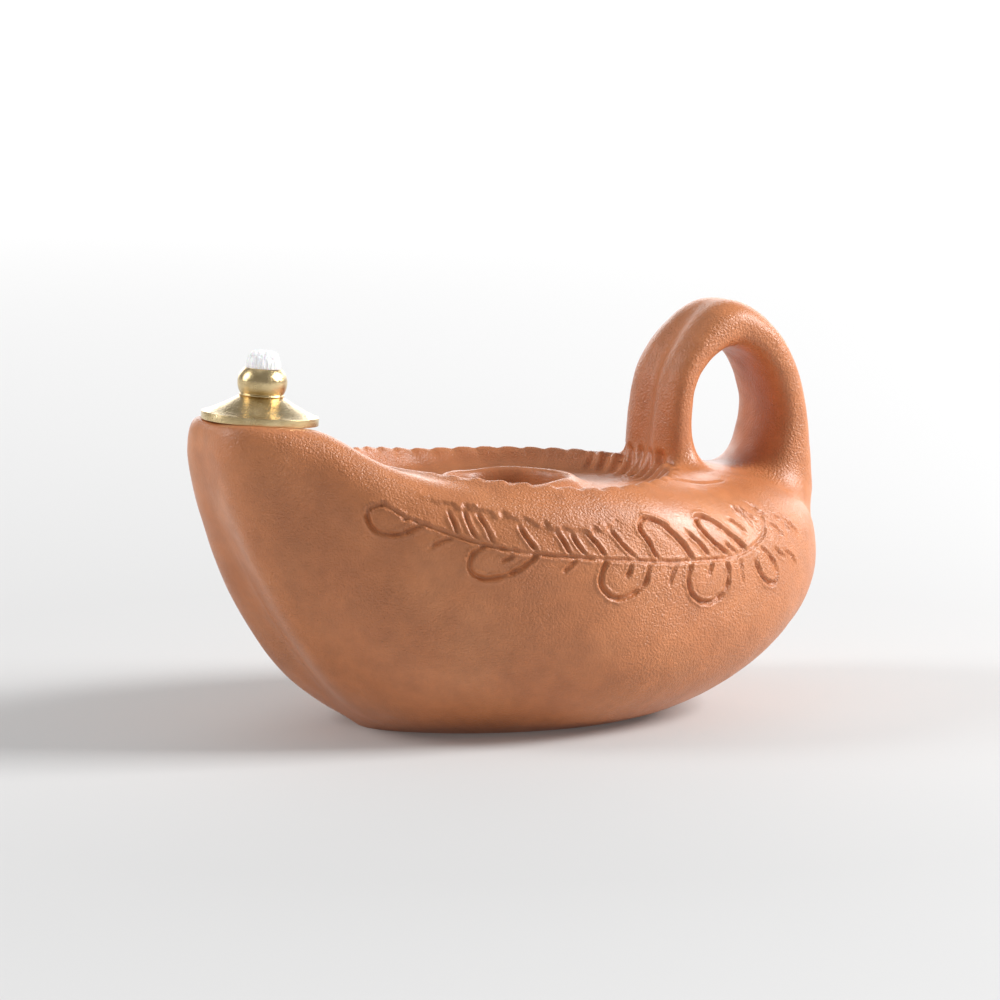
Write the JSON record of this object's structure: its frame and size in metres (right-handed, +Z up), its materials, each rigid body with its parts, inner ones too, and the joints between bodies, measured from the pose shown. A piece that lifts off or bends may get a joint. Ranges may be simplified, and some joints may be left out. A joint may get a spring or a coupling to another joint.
{
  "type": "oil lamp",
  "caption": "Closed boat-shaped clay oil lamp with a ring handle, a sunk top with a filling hole, and a brass wick holder with a round wick on its raised nozzle.",
  "frame": {"origin": "middle of the bounding box's underside, on the surface the lamp stands on", "axes": "+X from the nozzle towards the handle, +Y across the lamp, +Z up"},
  "size_m": [0.13, 0.0804, 0.0766],
  "materials": {
    "clay": "satin unglazed terracotta",
    "brass": "turned, lightly polished",
    "wick": "white glass-fibre yarn"
  },
  "bodies": {
    "root": {"lower_bowl": "clay", "upper_shell": "clay", "handle": "clay"},
    "wick_holder": {"wick_disc": "brass", "wick_tube": "brass"},
    "wick": {"wick": "wick"}
  },
  "joints": [
    {"name": "holder_lift", "type": "slide", "parent": "root", "child": "wick_holder", "axis": [0.0837, 0, 0.9965], "range_m": [0, 0.02], "deforming": ["wick"]},
    {"name": "wick_feed", "type": "slide", "parent": "wick_holder", "child": "wick", "axis": [0.0837, 0, 0.9965], "range_m": [-0.001, 0.006], "deforming": ["wick"]}
  ]
}
